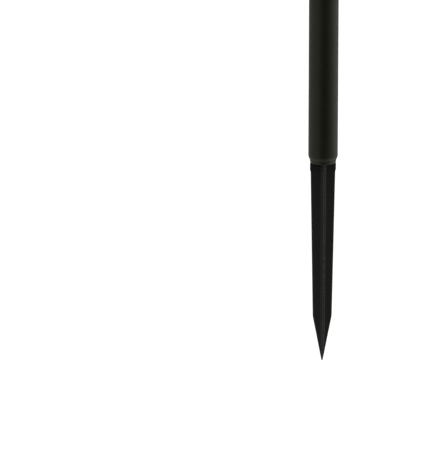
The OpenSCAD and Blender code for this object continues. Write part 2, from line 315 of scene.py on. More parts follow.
class Look:
    """A material whose nodes are added one by one, in object coordinates, which are metres here."""

    def __init__(self, name, metallic=0.0, **sockets):
        self.material = bpy.data.materials.new(name)
        self.material.use_nodes = True
        tree = self.material.node_tree
        self.nodes, self.links = tree.nodes, tree.links
        self.shader = self.nodes["Principled BSDF"]
        self.shader.inputs["Metallic"].default_value = metallic
        for socket, value in sockets.items():
            self.shader.inputs[socket.replace("_", " ")].default_value = value
        self.place = self.nodes.new("ShaderNodeTexCoord").outputs["Object"]
        self.normal = None

    def add(self, kind, inputs, **settings):
        node = self.nodes.new("ShaderNode" + kind)
        for key, value in settings.items():
            setattr(node, key, value)
        for key, value in inputs.items():
            if isinstance(value, bpy.types.NodeSocket):
                self.links.new(value, node.inputs[key])
            else:
                node.inputs[key].default_value = value
        return node

    def stretched(self, scale):
        return self.add("Mapping", {"Vector": self.place, "Scale": scale}).outputs["Vector"]

    def noise(self, scale, detail=3.0, stretch=None):
        place = self.stretched(stretch) if stretch else self.place
        return self.add("TexNoise", {"Vector": place, "Scale": scale, "Detail": detail}).outputs["Fac"]

    def cells(self, scale):
        return self.add("TexVoronoi", {"Vector": self.place, "Scale": scale}).outputs["Distance"]

    def spread(self, value, low, high, to_low=0.0, to_high=1.0):
        inputs = {"Value": value, "From Min": low, "From Max": high, "To Min": to_low, "To Max": to_high}
        return self.add("MapRange", inputs).outputs["Result"]

    def calc(self, operation, a, b):
        return self.add("Math", {0: a, 1: b}, operation=operation).outputs["Value"]

    def mix(self, share, a, b):
        return self.add("Mix", {"Factor": share, 6: a, 7: b}, data_type="RGBA").outputs[2]

    def height(self):
        return self.add("SeparateXYZ", {"Vector": self.place}).outputs["Z"]

    def wear(self):
        return self.add("Attribute", {}, attribute_name="wear", attribute_type="GEOMETRY").outputs["Fac"]

    def bump(self, value, depth):
        """Raises the surface by depth metres where value is 1. Bumps add up."""
        inputs = {"Height": value, "Distance": depth, "Strength": 1.0}
        if self.normal:
            inputs["Normal"] = self.normal
        self.normal = self.add("Bump", inputs).outputs["Normal"]

    def finish(self, colour, roughness):
        self.links.new(colour, self.shader.inputs["Base Color"])
        self.links.new(roughness, self.shader.inputs["Roughness"])
        if self.normal:
            self.links.new(self.normal, self.shader.inputs["Normal"])
        return self.material


def powder_coat():
    """Dark bronze powder coat: fine orange peel, a faint mottle, and lighter edges and lips, partly rubbed
    paint and partly a painted highlight.
    """
    look = Look("powder_coat", Specular_IOR_Level=0.5, Specular_Tint=rgb(1.0, 1.0, 0.80))
    mottle = look.spread(look.noise(38, 4), 0.3, 0.7)
    fleck = look.spread(look.noise(1700, 1), 0.56, 0.72)
    colour = look.mix(mottle, rgb(0.0100, 0.0104, 0.0066), rgb(0.0136, 0.0139, 0.0088))
    colour = look.mix(look.calc("MULTIPLY", fleck, 0.35), colour, rgb(0.040, 0.036, 0.026))
    # Lighter rounded edges and lips: partly real rubbed paint, partly a painted highlight where the rims
    # catch light.
    rub_and_highlight = look.calc("MULTIPLY", look.wear(), look.spread(look.noise(420, 5), 0.42, 0.62))
    colour = look.mix(look.calc("MULTIPLY", rub_and_highlight, 0.55), colour, rgb(0.060, 0.054, 0.042))
    roughness = look.spread(look.noise(210, 4), 0.3, 0.7, 0.40, 0.50)
    look.bump(look.noise(620, 2), 0.035 * MM)
    look.bump(look.noise(2600, 2), 0.012 * MM)
    return look.finish(colour, roughness)


def moulded_plastic(name, tone, roughness, grain):
    """Injection-moulded plastic: spark-eroded grain, faint flow marks along Z, and whitened edges."""
    look = Look(name, Specular_IOR_Level=0.28)
    flow = look.spread(look.noise(30, 4, (1, 1, 0.12)), 0.3, 0.7)
    dark, light = rgb(tone * 0.85, tone * 0.85, tone * 0.84), rgb(tone * 1.2, tone * 1.2, tone * 1.17)
    colour = look.mix(flow, dark, light)
    scuff = look.calc("MULTIPLY", look.wear(), look.spread(look.noise(600, 5), 0.35, 0.65))
    colour = look.mix(look.calc("MULTIPLY", scuff, 0.5), colour, rgb(tone * 3.2, tone * 3.2, tone * 3.1))
    polish = look.spread(look.noise(160, 4), 0.3, 0.7, roughness - 0.05, roughness + 0.06)
    look.bump(look.noise(2300, 3), grain)
    look.bump(look.noise(140, 3, (1, 1, 0.25)), 0.05 * MM)
    return look.finish(colour, polish)


def zinc_plate():
    """Bright zinc plating: a cool sheen with yellowish clouds and fine scratches."""
    look = Look("zinc_plate", metallic=1.0)
    cloud = look.spread(look.noise(240, 4), 0.35, 0.7)
    colour = look.mix(cloud, rgb(0.50, 0.52, 0.54), rgb(0.60, 0.57, 0.49))
    roughness = look.spread(look.noise(900, 5), 0.3, 0.7, 0.24, 0.42)
    look.bump(look.noise(1500, 3, (1, 1, 0.08)), 0.012 * MM)
    return look.finish(colour, roughness)


def tinplate():
    """Drawn tinplate: faint crystal spangle and draw lines round the axis."""
    look = Look("tinplate", metallic=1.0)
    spangle = look.spread(look.cells(420), 0.0, 0.9)
    colour = look.mix(spangle, rgb(0.50, 0.51, 0.51), rgb(0.57, 0.58, 0.57))
    smear = look.spread(look.noise(90, 6), 0.35, 0.7, 0.0, 0.06)
    roughness = look.calc("ADD", look.spread(spangle, 0, 1, 0.27, 0.32), smear)
    look.bump(look.noise(60, 4, (0.3, 0.3, 30)), 0.006 * MM)
    return look.finish(colour, roughness)


def turned_brass():
    """Lathe-turned brass: tool rings and the first tarnish."""
    look = Look("turned_brass", metallic=1.0)
    tarnish = look.spread(look.noise(160, 5), 0.4, 0.75)
    colour = look.mix(tarnish, rgb(0.70, 0.49, 0.20), rgb(0.52, 0.34, 0.14))
    roughness = look.spread(tarnish, 0, 1, 0.22, 0.38)
    look.bump(look.noise(50, 3, (0.2, 0.2, 60)), 0.012 * MM)
    return look.finish(colour, roughness)


def seal_rubber():
    """Black rubber with a dusty bloom."""
    look = Look("seal_rubber", Specular_IOR_Level=0.35)
    bloom = look.spread(look.noise(300, 5), 0.4, 0.75)
    colour = look.mix(bloom, rgb(0.010, 0.010, 0.010), rgb(0.030, 0.029, 0.027))
    look.bump(look.noise(1800, 3), 0.02 * MM)
    return look.finish(colour, look.spread(bloom, 0, 1, 0.6, 0.8))


def wick_braid():
    """Braided glass fibre, not yet burnt: fine filaments, and a little dust between the strands."""
    look = Look("wick_braid", Specular_IOR_Level=0.2, Sheen_Weight=0.25, Sheen_Roughness=0.5)
    fibre = look.spread(look.noise(900, 4, (1, 1, 0.2)), 0.3, 0.7)
    colour = look.mix(fibre, rgb(0.52, 0.47, 0.36), rgb(0.76, 0.72, 0.62))
    dust = look.spread(look.noise(180, 3), 0.5, 0.8, 0.0, 0.35)
    colour = look.mix(dust, colour, rgb(0.42, 0.35, 0.24))
    look.bump(look.noise(2400, 4, (1, 1, 0.3)), 0.08 * MM)
    return look.finish(colour, look.spread(fibre, 0, 1, 0.8, 0.95))


LOOKS = {
    "pole_paint": powder_coat(),
    "black_plastic": moulded_plastic("moulded_plastic", 0.036, 0.50, 0.02 * MM),
    "knob_plastic": moulded_plastic("knob_plastic", 0.010, 0.34, 0.006 * MM),
    "steel": zinc_plate(),
    "tinplate": tinplate(),
    "rubber": seal_rubber(),
    "brass": turned_brass(),
    "wick_braid": wick_braid(),
}

BODY_OF = {node: body for body, nodes in frame["record"]["behaviour"]["bodies"].items() for node in nodes}
SLOT_OF = {row["node"]: row["material_slot"] for row in frame["record"]["subparts"]}


def dress(piece, node):
    """Gives a new piece the node's place in the frame: its body, its slot and its material."""
    piece.data.materials.clear()
    piece.data.materials.append(LOOKS[SLOT_OF[node]])
    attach(piece, BODY_OF[node])
    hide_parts(node)
    return piece


# ------------------------------------------------------------------------------------- pole and spike


def pole_tube(node):
    """A tube with rounded cut edges. Its foot is rolled in, and a fine crease marks off the lip there."""
    low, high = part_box(node)[0].z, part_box(node)[1].z
    lip_top_r = BORE_R - 0.03 * MM
    crease = low + LIP_H
    steps = 10
    flare = []
    for k in range(steps + 1):
        r = lip_top_r + (POLE_R - lip_top_r) * math.sin(math.pi / 2 * k / steps)
        flare.append((r, crease + (CRIMP_H - LIP_H) * k / steps, 0))
    corners = [(MOUTH_R - TUBE_WALL, low, 0.3 * MM), (MOUTH_R, low, 0.45 * MM),
               (lip_top_r - 0.04 * MM, crease - 0.3 * MM, 0.1 * MM),
               (lip_top_r - 0.22 * MM, crease - 0.1 * MM, 0.05 * MM),
               *flare[1:], (POLE_R, high, 0.4 * MM), (BORE_R, high, 0.3 * MM)]
    corners += [(r - TUBE_WALL, z, 0) for r, z, _ in reversed(flare)]
    return turned(node + "_skin", rounded(corners), sides=128)


def fin_section(reach, half_t, root, edge):
    """One level of a four-finned section: (x, y, wear) points, anticlockwise from the +X fin's edge."""
    half_t = min(half_t, 0.75 * reach)
    tip_t = half_t * (0.80 if reach > 3 * half_t else 1.0)
    room = reach - half_t
    edge = min(edge, 0.8 * tip_t, 0.35 * reach, 0.5 * room)
    root = min(root, 0.45 * (room - edge))
    guard = max(reach - edge - GUARD, half_t + root * 1.05)
    points = []
    for quarter in range(4):
        turn = Matrix.Rotation(math.tau * quarter / 4, 2)
        fin = [(guard, -tip_t, 0.0)]
        for side, start in ((-1, -90), (1, 0)):
            for k in range(5):
                angle = math.radians(start + 90 * k / 4)
                x, y = edge * math.cos(angle), edge * math.sin(angle)
                fin.append((reach - edge + x, side * (tip_t - edge) + y, 1.0))
        fin.append((guard, tip_t, 0.0))
        for k in range(5):
            angle = math.radians(-90 - 90 * k / 4)
            centre = half_t + root
            fin.append((centre + root * math.cos(angle), centre + root * math.sin(angle), 0.0))
        for x, y, wear in fin:
            spot = turn @ Vector((x, y))
            points.append((spot.x, spot.y, wear))
    return points


def finned(name, levels):
    """Lofts four fins through levels of (z, reach, half thickness)."""
    bm = bmesh.new()
    rings, worn = [], []
    for z, reach, half_t in levels:
        section = fin_section(reach, half_t, 1.3 * MM, 0.55 * MM)
        rings.append([bm.verts.new((x, y, z)) for x, y, _ in section])
        worn.extend(wear for _, _, wear in section)
    lofted(bm, rings)
    return mesh_piece(name, bm, worn)


def tang_levels(mouth_z, top):
    """The blunt tang that stands in the tube above, from its foot at the tube's mouth up."""
    half_t = FIN_T / 2
    levels = [(mouth_z, TANG_R, half_t), (mouth_z + 0.8 * MM, TANG_R, half_t)]
    for k in range(7):
        angle = math.radians(90 * k / 6)
        reach = TANG_R - END_ROUNDING * (1 - math.cos(angle))
        levels.append((top - END_ROUNDING * (1 - math.sin(angle)), reach, half_t))
    levels[-1] = (top - 0.25 * MM, levels[-1][1], half_t)
    levels.append((top, levels[-1][1] - 0.25 * MM, half_t - 0.25 * MM))
    return levels


def shoulder_levels(mouth_z, foot_z):
    """The shoulder that the tube's mouth stands on, from its foot up, with its edge rounded."""
    half_t = FIN_T / 2
    ease = 0.5 * MM
    return [(foot_z, SHOULDER_R, half_t), (mouth_z - 1.2 * MM, SHOULDER_R, half_t),
            (mouth_z - ease, SHOULDER_R - 0.05 * MM, half_t),
            (mouth_z - 0.15 * MM, SHOULDER_R - 0.3 * MM, half_t),
            (mouth_z - 0.03 * MM, SHOULDER_R - ease, half_t)]


def s_curve(z0, r0, z1, r1, steps=6):
    """Levels that pass smoothly from one reach to another."""
    levels = []
    for k in range(steps + 1):
        share = (1 - math.cos(math.pi * k / steps)) / 2
        levels.append((z0 + (z1 - z0) * k / steps, r0 + (r1 - r0) * share, FIN_T / 2))
    return levels


def witness_marks(heights):
    """Faint round marks that the mould's ejector pins leave on the faces of the side fins."""
    corners = [(0, -0.3 * MM, 0), (1.25 * MM, -0.3 * MM, 0), (1.25 * MM, 0.12 * MM, 0.1 * MM),
               (0.95 * MM, 0.12 * MM, 0.05 * MM), (0.85 * MM, 0.02 * MM, 0), (0, 0.02 * MM, 0)]
    marks = []
    for z in heights:
        for x in (-5.6 * MM, 5.6 * MM):
            for side in (-1, 1):
                disc = turned("mark", rounded(corners, closed=False), closed=False, sides=24)
                place = Matrix.Translation((x, side * 1.02 * MM, z))
                marks.append(move(disc, place @ Matrix.Rotation(math.radians(-90 * side), 4, "X")))
    return marks


def ground_spike():
    """The spike: a point with a blunt end, a tapered blade, a shoulder and the tang in the tube."""
    low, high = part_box("ground_spike")[0].z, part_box("ground_spike")[1].z
    knee = low + POINT_L
    half_t = FIN_T / 2
    blunt_r = 0.42 * MM
    levels = [(low, 0.6 * blunt_r, half_t)]
    for share in (0.01, 0.06, 0.14, 0.22, 0.35, 0.5, 0.7, 0.9, 0.975):
        levels.append((low + POINT_L * share, blunt_r + (BLADE_KNEE_R - blunt_r) * share, half_t))
    levels += [(knee, BLADE_KNEE_R * 0.993, half_t)]
    blade_top = -SHOULDER_L - 2.2 * MM
    for share in (0.02, 0.2, 0.4, 0.6, 0.8):
        reach = BLADE_KNEE_R + (BLADE_TOP_R - BLADE_KNEE_R) * share
        levels.append((knee + (blade_top - knee) * share, reach, half_t))
    levels += s_curve(blade_top, BLADE_TOP_R, -SHOULDER_L, SHOULDER_R)
    levels += shoulder_levels(0, -SHOULDER_L + 0.3 * MM)
    levels += tang_levels(0, high)
    blade = finned("blade", levels)
    return joined("ground_spike_skin", [blade, *witness_marks([-28 * MM, -71.5 * MM, -114 * MM])])


def coupler(node):
    """A plug-in coupler: a waisted stub with a rounded end, a shoulder and the tang in the tube."""
    low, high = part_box(node)[0].z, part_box(node)[1].z
    mouth = low + 23.5 * MM
    half_t = FIN_T / 2
    levels = [(low, STUB_R - END_ROUNDING - 0.25 * MM, half_t - 0.25 * MM)]
    for k in range(7):
        angle = math.radians(-90 + 90 * k / 6)
        reach = STUB_R - END_ROUNDING * (1 - math.cos(angle))
        levels.append((low + END_ROUNDING * (1 + math.sin(angle)), reach, half_t))
    levels[1] = (low + 0.25 * MM, levels[1][1], half_t)
    levels += s_curve(low + END_ROUNDING + 3.8 * MM, STUB_R, low + END_ROUNDING + 6.2 * MM, WAIST_R)
    levels += s_curve(mouth - SHOULDER_L - 0.8 * MM, WAIST_R, mouth - SHOULDER_L + 0.8 * MM, SHOULDER_R)
    levels += shoulder_levels(mouth, mouth - SHOULDER_L + 1.1 * MM)
    levels += tang_levels(mouth, high)
    return finned(node + "_skin", levels)


# ------------------------------------------------------------------------------------------ torch head


def cup_r_at(z):
    """Radius of the cup's outside at height z above its floor."""
    return CUP_FLOOR_R + (CUP_RIM_R - CUP_FLOOR_R) * (1 - (1 - z / CUP_H) ** 1.6)


def pressed_rib(z, at, proud, width):
    """Height of a pressed rib's bulge at z."""
    return proud * math.exp(-((z - at) / width) ** 2)


def head_socket():
    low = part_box("head_socket")[0].z
    top_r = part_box("head_socket")[1].x
    foot = POLE_TOP + FIT
    collar_r, neck_r = POLE_R + 1.4 * MM, POLE_R + 0.6 * MM
    steps = 10
    flare = []
    for k in range(steps + 1):
        share = k / steps
        r = neck_r + (top_r - neck_r) * share ** 1.8
        flare.append((r, POLE_TOP + 4 * MM + (CUP_Z - POLE_TOP - 6 * MM) * share, 0))
    corners = [(0, low, 0), (BORE_R - FIT, low, 0.8 * MM), (BORE_R - FIT, foot, 0.1 * MM),
               (collar_r, foot, 0.6 * MM), (collar_r, POLE_TOP + 3 * MM, 0.7 * MM), *flare,
               (top_r, CUP_Z, 0.6 * MM), (0, CUP_Z, 0)]
    return turned("head_socket_skin", rounded(corners, closed=False), closed=False)


def pan_head_screw(name, shaft_r, shaft_l, head_r, head_h):
    """A cross-recess pan-head screw that points down -Z, with its head standing on z = 0."""
    corners = [(0, -shaft_l, 0), (shaft_r, -shaft_l, 0.2 * MM), (shaft_r, 0, 0.05 * MM),
               (head_r, 0, 0.15 * MM), (head_r, head_h * 0.45, 0.5 * MM), (head_r * 0.62, head_h, 0.9 * MM),
               (0, head_h, 0)]
    screw = turned(name, rounded(corners, closed=False), closed=False, sides=48)
    arm, half = head_r * 0.55, 0.32 * MM
    slots = []
    for turn in (0, 90):
        outline = [(-arm, -half), (arm, -half), (arm, half), (-arm, half)]
        slot = prism("slot", outline, head_h * 0.35, head_h + MM)
        slots.append(move(slot, Matrix.Rotation(math.radians(turn), 4, "Z")))
    return combined(screw, slots, "DIFFERENCE")


def head_screws():
    low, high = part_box("head_screws")
    axis_z = (low.z + high.z) / 2
    seat = POLE_R + FIT
    screws = []
    for k in range(3):
        screw = pan_head_screw("screw", 1.6 * MM, 6.5 * MM, 3.1 * MM, high.x - seat)
        side = Matrix.Rotation(math.tau * k / 3, 4, "Z")
        place = side @ Matrix.Translation((seat, 0, axis_z))
        spin = Matrix.Rotation(math.radians(25 + 40 * k), 4, "Z")
        screws.append(move(screw, place @ Matrix.Rotation(math.radians(90), 4, "Y") @ spin))
    return joined("head_screws_skin", screws)


def holder_cup():
    """A spun steel cup with a rolled rim, two pressed ribs and drain holes."""
    wall, hole_r = MM, 3.3 * MM
    steps = 44
    ribs = (CUP_H - 15 * MM, CUP_H - 19.5 * MM)
    foot = 2.6 * MM
    outer = []
    for k in range(steps + 1):
        z = foot + (CUP_H - foot) * k / steps
        bulge = sum(pressed_rib(z, rib, 0.75 * MM, 1.3 * MM) for rib in ribs)
        outer.append((cup_r_at(z) + bulge, CUP_Z + z))
    bead_z = CUP_Z + CUP_H
    bead = []
    for k in range(21):
        angle = math.radians(180 - 315 * k / 20)
        bead.append((CUP_RIM_R + CUP_BEAD_R * math.cos(angle), bead_z + CUP_BEAD_R * math.sin(angle)))
    inner = [(r - wall, z) for r, z in outer[:-2]]
    corners = [(hole_r, CUP_Z, 0), (CUP_FLOOR_R - 0.6 * MM, CUP_Z, 2.2 * MM)]
    corners += [(r, z, 0) for r, z in outer[:-1]]
    corners += [(r, z, 0) for r, z in reversed(bead)]
    corners += [(r, z, 0) for r, z in reversed(inner)]
    corners += [(CUP_FLOOR_R - 1.2 * MM, CUP_Z + wall, 1.5 * MM), (hole_r, CUP_Z + wall, 0)]
    cup = turned("holder_cup_skin", rounded(corners), sides=128)
    low, high = CUP_Z - 5 * MM, CUP_Z + 5 * MM
    drain_r, drains_at_r = 1.8 * MM, 23.4 * MM
    drains = []
    for k in range(4):
        drain = turned("drain", [(0, low, 0), (drain_r, low, 0), (drain_r, high, 0), (0, high, 0)],
                       closed=False, sides=24)
        side = Matrix.Rotation(math.radians(45 + 90 * k), 4, "Z")
        drains.append(move(drain, side @ Matrix.Translation((drains_at_r, 0, 0))))
    return combined(cup, drains, "DIFFERENCE")


def holder_washer():
    low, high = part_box("holder_washer")
    hole = 3.2 * MM
    corners = [(hole, low.z, 0.1 * MM), (high.x, low.z, 0.2 * MM),
               (high.x, high.z, 0.35 * MM), (hole, high.z, 0.2 * MM)]
    return turned("holder_washer_skin", rounded(corners))


def holder_bolt():
    low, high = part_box("holder_bolt")
    under = high.z - 3.6 * MM
    corner_r = high.x
    shaft_r = 3 * MM
    corners = [(0, low.z, 0), (shaft_r, low.z, 0.5 * MM), (shaft_r, under, 0.05 * MM),
               (corner_r, under, 0.1 * MM), (corner_r, high.z - 0.8 * MM, 0),
               (corner_r - 0.9 * MM, high.z, 0.1 * MM), (0, high.z, 0)]
    points = rounded(corners, closed=False)
    return turned("holder_bolt_skin", points, closed=False, shape=hexagonal(corner_r))


def canister_body():
    """A drawn can with a domed-in floor, two pressed beads and the flange that hangs it in the cup."""
    steps = 36
    low = CAN_FOOT_Z - CUP_Z
    side = []
    for k in range(steps + 1):
        z = low + 4 * MM + (CUP_H - low - 4 * MM) * k / steps
        bulge = sum(pressed_rib(z, at, -0.7 * MM, 1.2 * MM) for at in (CUP_H * 0.42, CUP_H * 0.80))
        side.append((cup_r_at(z) - CAN_GAP + bulge, CUP_Z + z))
    foot_r = side[0][0] - 0.4 * MM
    flange_low, flange_r = FLANGE_Z - CAN_WALL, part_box("canister_body")[1].x
    recess = 0.7 * MM
    corners = [(0, CAN_FOOT_Z + recess, 0), (foot_r - 9 * MM, CAN_FOOT_Z + recess, 3 * MM),
               (foot_r - 6 * MM, CAN_FOOT_Z, 1.5 * MM), (foot_r - 0.9 * MM, CAN_FOOT_Z, 3 * MM)]
    corners += [(r, z, 0) for r, z in side]
    corners += [(side[-1][0], flange_low, 0.5 * MM), (flange_r, flange_low, 0.2 * MM),
                (flange_r, FLANGE_Z, 0.3 * MM), (side[-1][0] - CAN_WALL, FLANGE_Z, 0.8 * MM)]
    corners += [(r - CAN_WALL, z, 0) for r, z in reversed(side)]
    floor_z = CAN_FOOT_Z + CAN_WALL
    corners += [(foot_r - 1.7 * MM, floor_z, 2.4 * MM), (foot_r - 5.8 * MM, floor_z, 1.2 * MM),
                (foot_r - 8.8 * MM, floor_z + recess, 2.4 * MM), (0, floor_z + recess, 0)]
    return turned("canister_body_skin", rounded(corners, closed=False), closed=False, sides=128)


def helix_ridge(name, radius, low, turns, lead, height, half_w):
    """A thread ridge that fades in and out at its ends."""
    bm = bmesh.new()
    sunk = 0.25 * MM
    count = int(turns * 48)
    rings = []
    for k in range(count + 1):
        angle = math.tau * turns * k / count
        crest = height * min(1.0, 6 * k / count, 6 * (count - k) / count)
        z = low + lead * turns * k / count
        section = [(-sunk, -half_w), (crest, -half_w * 0.35), (crest, half_w * 0.35), (-sunk, half_w)]
        rings.append([bm.verts.new(((radius + r) * math.cos(angle), (radius + r) * math.sin(angle), z + dz))
                      for r, dz in section])
    lofted(bm, rings)
    return mesh_piece(name, bm)


def canister_top():
    """The domed top with its rolled seam, a pressed step and the threaded neck."""
    dome_z = NECK_TOP - NECK_L - DOME_H
    lip_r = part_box("canister_top")[1].x
    skirt_r = 51.05 * MM
    steps = 22
    dome = []
    for k in range(steps + 1):
        r = DOME_R + (NECK_R - DOME_R) * k / steps
        rise = DOME_H * (1 - ((r - NECK_R) / (DOME_R - NECK_R)) ** 2)
        step = 0.5 * MM / (1 + math.exp((r - 38 * MM) / (0.5 * MM))) if r > 20 * MM else 0
        dome.append((r, dome_z + rise + step))
    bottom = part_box("canister_top")[0].z
    corners = [(skirt_r, dome_z - CAN_WALL, 0.1 * MM), (skirt_r, bottom, 0.2 * MM),
               (lip_r, bottom, 0.45 * MM), (lip_r, dome_z + 0.45 * MM, 0.5 * MM),
               (lip_r - 1.6 * MM, dome_z + 0.45 * MM, 0.5 * MM),
               (DOME_R + 2.6 * MM, dome_z - 0.05 * MM, 0.8 * MM), (DOME_R + 0.4 * MM, dome_z, 0.5 * MM)]
    corners += [(r, z, 0) for r, z in dome[1:-1]]
    bore_r, neck_foot = NECK_R - CAN_WALL, NECK_TOP - NECK_L
    corners += [(NECK_R, neck_foot + 0.3 * MM, 1.2 * MM), (NECK_R, NECK_TOP, 0.3 * MM),
                (bore_r, NECK_TOP, 0.3 * MM), (bore_r, neck_foot - 0.4 * MM, 1.5 * MM)]
    corners += [(r - 0.3 * MM, z - CAN_WALL, 0) for r, z in reversed(dome[1:-2])]
    corners += [(DOME_R - MM, dome_z - CAN_WALL, 0.3 * MM)]
    top = turned("top", rounded(corners), sides=128)
    thread = helix_ridge("thread", NECK_R, NECK_TOP - 7.6 * MM, 1.5, THREAD_LEAD, 0.5 * MM, 0.7 * MM)
    return joined("canister_top_skin", [top, thread])


def neck_gasket():
    low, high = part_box("neck_gasket")
    bore = 15.7 * MM
    section = ((bore, low.z), (high.x, low.z), (high.x, high.z), (bore, high.z))
    return turned("neck_gasket_skin", rounded([(r, z, 0.25 * MM) for r, z in section]))


def burner_cap():
    """The screw cap: a plate round the wick tube and a ribbed skirt."""
    low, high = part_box("burner_cap")
    plate = high.z - 2 * MM
    bore = 18.9 * MM
    hole = 7.2 * MM
    ribs = 54
    skirt_top = high.z - 2.6 * MM

    def ribbed(r, z, angle):
        if r < CAP_R - 0.9 * MM:
            return r
        from_top = min(1.0, max(0.0, (skirt_top - z) / (1.2 * MM)))
        from_foot = min(1.0, max(0.0, (z - low.z - 1.4 * MM) / (0.8 * MM)))
        groove = (0.5 - 0.5 * math.cos(ribs * angle)) ** 2
        return r - 0.55 * MM * groove * from_top * from_foot

    shares = (0.16, 0.22, 0.27, 0.31, 0.5, 0.7, 0.84, 0.9, 0.95, 1.0)
    wall_rows = [(CAP_R, low.z + share * (skirt_top - low.z), 0) for share in shares]
    corners = [(bore, low.z, 0.3 * MM), (CAP_R, low.z, 0.5 * MM), *wall_rows, (CAP_R, high.z, 1.5 * MM),
               (14.5 * MM, high.z, 0.6 * MM), (14.1 * MM, high.z - 0.35 * MM, 0.3 * MM),
               (hole, high.z - 0.35 * MM, 0.1 * MM), (hole, plate, 0.1 * MM), (bore, plate, 0.6 * MM)]
    return turned("burner_cap_skin", rounded(corners), sides=ribs * 6, shape=ribbed)


def wick_tube():
    low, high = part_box("wick_tube")
    outer, bore, collar = 7.1 * MM, 5.6 * MM, high.x
    groove = outer - 0.3 * MM
    corners = [(bore, low.z, 0.2 * MM), (outer, low.z, 0.4 * MM), (outer, BURNER_Z, 0.05 * MM),
               (collar, BURNER_Z, 0.15 * MM), (collar, BURNER_Z + 1.2 * MM, 0.5 * MM),
               (outer, BURNER_Z + 1.2 * MM, 0.5 * MM), (outer, high.z - 2.4 * MM, 0.15 * MM),
               (groove, high.z - 2.1 * MM, 0.1 * MM), (groove, high.z - 1.7 * MM, 0.1 * MM),
               (outer, high.z - 1.4 * MM, 0.15 * MM), (outer, high.z, 0.55 * MM), (bore, high.z, 0.4 * MM)]
    return turned("wick_tube_skin", rounded(corners))


def wick_nut():
    low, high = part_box("wick_nut")
    corner_r = high.x
    bore = 7.15 * MM
    corners = [(bore, low.z, 0.2 * MM), (corner_r - 0.9 * MM, low.z, 0.1 * MM),
               (corner_r, low.z + 0.8 * MM, 0), (corner_r, high.z, 0.1 * MM), (bore, high.z, 0.2 * MM)]
    return turned("wick_nut_skin", rounded(corners), shape=hexagonal(corner_r))


def braided(r, z, angle):
    """Radius of a braided cord: two families of strands that pass over and under each other."""
    if r < 4 * MM:
        return r
    strands, lead = 10, 26 * MM
    one = math.cos(strands * angle + math.tau * z * strands / lead)
    two = math.cos(strands * angle - math.tau * z * strands / lead)
    weave = max(one, two) * 0.5 + 0.5
    return r - 0.55 * MM * (1 - weave) ** 1.3


def frayed_fibres(top, radius):
    """Short cut filaments that stand up from the wick's end."""
    dice = random.Random(7)
    fibres = []
    for _ in range(150):
        angle, spread = dice.uniform(0, math.tau), radius * math.sqrt(dice.uniform(0.02, 0.94))
        lean = Vector((math.cos(angle), math.sin(angle), 0)) * dice.uniform(-0.25, 0.45)
        length = dice.uniform(0.3, 1.3) * MM
        bm = bmesh.new()
        rings = []
        for k in range(4):
            share = k / 3
            middle = Vector((spread * math.cos(angle), spread * math.sin(angle), top - 0.6 * MM))
            middle += (Vector((0, 0, 1)) + lean * share * 1.5) * (length + 0.6 * MM) * share
            thick = 0.26 * MM * (1 - 0.5 * share)
            turns = [math.tau * n / 5 for n in range(5)]
            rings.append([bm.verts.new(middle + Vector((thick * math.cos(t), thick * math.sin(t), 0)))
                          for t in turns])
        lofted(bm, rings)
        fibres.append(mesh_piece("fibre", bm))
    return fibres


def wick():
    low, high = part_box("wick")
    fray = 1.8 * MM
    top = high.z - fray
    rows = int((top - low.z) / (0.6 * MM))
    points = [(0, low.z, 0)] + [(high.x, low.z + (top - MM - low.z) * k / rows, 0) for k in range(rows + 1)]
    points += [(high.x * 0.94, top - 0.4 * MM, 0), (high.x * 0.8, top, 0),
               (high.x * 0.4, top + 0.2 * MM, 0), (0, top, 0)]
    cord = turned("cord", points, closed=False, sides=120, shape=braided)
    return joined("wick_skin", [cord, *frayed_fibres(top, high.x * 0.9)])


def snuffer_bracket():
    """The hinge bracket: a riveted foot with two upturned ears."""
    low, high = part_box("snuffer_bracket")
    ear_t = 1.2 * MM
    ear_r = 3.4 * MM
    foot_end = 20.5 * MM
    outline = [(low.x, low.y), (foot_end, low.y), (foot_end, high.y), (low.x, high.y)]
    foot = prism("foot", outline, low.z, low.z + ear_t)
    ears = []
    for y in (low.y, high.y - ear_t):
        lobe = []
        for k in range(17):
            angle = math.radians(-48 + 192 * k / 16)
            lobe.append((HINGE.x + ear_r * math.cos(angle), HINGE.z + ear_r * math.sin(angle)))
        outline = [(low.x + 3 * MM, low.z), (foot_end, low.z), *lobe]
        ear = prism("ear", outline, 0, ear_t)
        ears.append(move(ear, Matrix.Translation((0, y + ear_t, 0)) @ UPRIGHT))
    bracket = combined(foot, ears, "UNION")
    bracket.name = "snuffer_bracket_skin"
    return bevelled(bracket, 0.22 * MM)


def domed_rivet(head_r, head_h, shaft_r, shaft_l):
    corners = [(0, -shaft_l, 0), (shaft_r, -shaft_l, 0.1 * MM), (shaft_r, 0, 0), (head_r, 0, 0.1 * MM),
               (head_r, head_h * 0.35, 0.25 * MM), (head_r * 0.55, head_h, 0.6 * MM), (0, head_h, 0)]
    return turned("rivet", rounded(corners, closed=False), closed=False, sides=32)


def bracket_rivets():
    low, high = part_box("bracket_rivets")
    x = (low.x + high.x) / 2
    y = high.y - 2 * MM
    rivets = []
    for side in (-1, 1):
        head_foot = high.z - 0.9 * MM
        rivet = domed_rivet(2 * MM, 0.9 * MM, 1.2 * MM, head_foot - low.z)
        rivets.append(move(rivet, Matrix.Translation((x, side * y, head_foot))))
    return joined("bracket_rivets_skin", rivets)


def snuffer_pin():
    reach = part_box("snuffer_pin")[1].y
    head_h = 1.1 * MM
    half = [(0, reach, 0), (1.5 * MM, reach, 0.5 * MM), (2.4 * MM, reach - head_h * 0.5, 0.3 * MM),
            (2.4 * MM, reach - head_h, 0.1 * MM), (1.5 * MM, reach - head_h, 0)]
    corners = half + [(r, -z, rounding) for r, z, rounding in reversed(half)]
    pin = turned("snuffer_pin_skin", rounded(corners, closed=False), closed=False, sides=48)
    return move(pin, Matrix.Translation(HINGE) @ ALONG_Y)


def opened(piece):
    """Turns a piece that was built shut to where it stands open."""
    turn = Matrix.Rotation(-SHUT_TURN, 4, SHUT_AXIS)
    return move(piece, Matrix.Translation(HINGE) @ turn @ Matrix.Translation(-HINGE))


